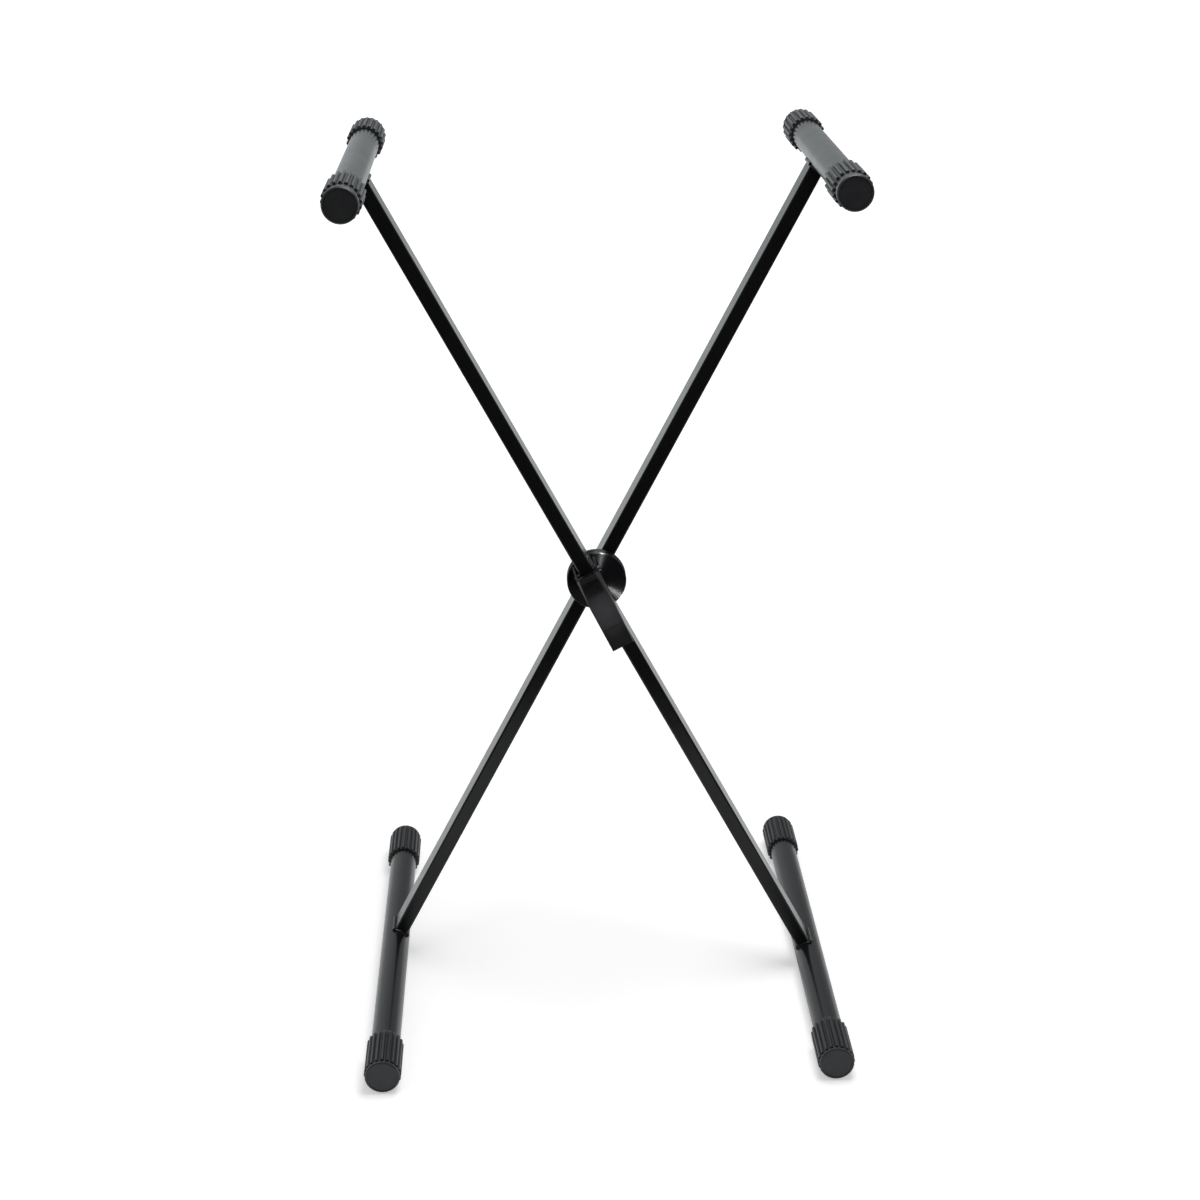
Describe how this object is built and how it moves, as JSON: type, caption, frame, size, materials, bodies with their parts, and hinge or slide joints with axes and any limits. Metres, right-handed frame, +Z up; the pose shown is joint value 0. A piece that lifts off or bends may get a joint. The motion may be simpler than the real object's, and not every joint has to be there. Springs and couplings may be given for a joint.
{
  "type": "folding keyboard stand",
  "caption": "Folding X stand for a musical keyboard: two flat steel arms on a lockable pivot, round cross tubes top and bottom, ribbed rubber end caps.",
  "frame": {"origin": "on the floor, under the middle of the base tubes", "axes": "+X right and +Y away from the player as the locking lever faces the player, +Z up"},
  "size_m": [0.4958, 0.524, 0.9039],
  "materials": {
    "powder_coat": "satin black powder coat, fine orange peel",
    "cap_rubber": "moulded charcoal rubber, matt",
    "lever_plastic": "moulded nylon, fine matt grain",
    "disc_enamel": "turned steel under gloss black enamel",
    "bolt_black": "black oxide",
    "plated_steel": "zinc plate",
    "nylon": "natural nylon"
  },
  "bodies": {
    "rear_frame": {"rear_arm": "powder_coat", "rear_frame_welds": "powder_coat", "base_tube_left": "powder_coat", "base_left_front_cap": "cap_rubber", "base_left_rear_cap": "cap_rubber", "top_tube_right": "powder_coat", "top_right_front_cap": "cap_rubber", "top_right_rear_cap": "cap_rubber", "index_disc": "disc_enamel", "disc_hub": "powder_coat", "rear_sleeve": "plated_steel", "pivot_bolt": "bolt_black", "pivot_front_washer": "plated_steel", "pivot_rear_washer": "plated_steel", "pivot_lock_nut": "plated_steel", "lock_nut_insert": "nylon"},
    "front_frame": {"front_arm": "powder_coat", "front_frame_welds": "powder_coat", "base_tube_right": "powder_coat", "base_right_front_cap": "cap_rubber", "base_right_rear_cap": "cap_rubber", "top_tube_left": "powder_coat", "top_left_front_cap": "cap_rubber", "top_left_rear_cap": "cap_rubber", "pivot_bush": "plated_steel", "clutch_plate": "disc_enamel", "friction_washer": "lever_plastic", "lever_hinge_pin": "bolt_black", "hinge_pin_retainer": "plated_steel", "lock_spring": "plated_steel"},
    "lever": {"lock_lever": "lever_plastic", "lever_yoke": "powder_coat"},
    "lock_pin_set": {"lock_pin": "plated_steel", "lock_cross_pin": "plated_steel", "lock_pin_collar": "plated_steel"}
  },
  "joints": [
    {"name": "fold", "type": "hinge", "parent": "rear_frame", "child": "front_frame", "pos_m": [0, 0, 0.45197], "axis": [0, 1, 0], "range_deg": [-50, 50]},
    {"name": "lever_pull", "type": "hinge", "parent": "front_frame", "child": "lever", "pos_m": [-0.00982, -0.041, 0.47053], "axis": [-0.884, 0, -0.4675], "range_deg": [-5, 5], "stiffness_Nm_per_rad": 1.48},
    {"name": "lock_pin_slide", "type": "slide", "parent": "front_frame", "child": "lock_pin_set", "axis": [0, -1, 0], "range_m": [-0.0037, 0.0037], "deforming": ["lock_spring"]}
  ],
  "couplings": [
    {"joint": "lock_pin_slide", "follows": "lever_pull", "m_per_rad": 0.042}
  ]
}
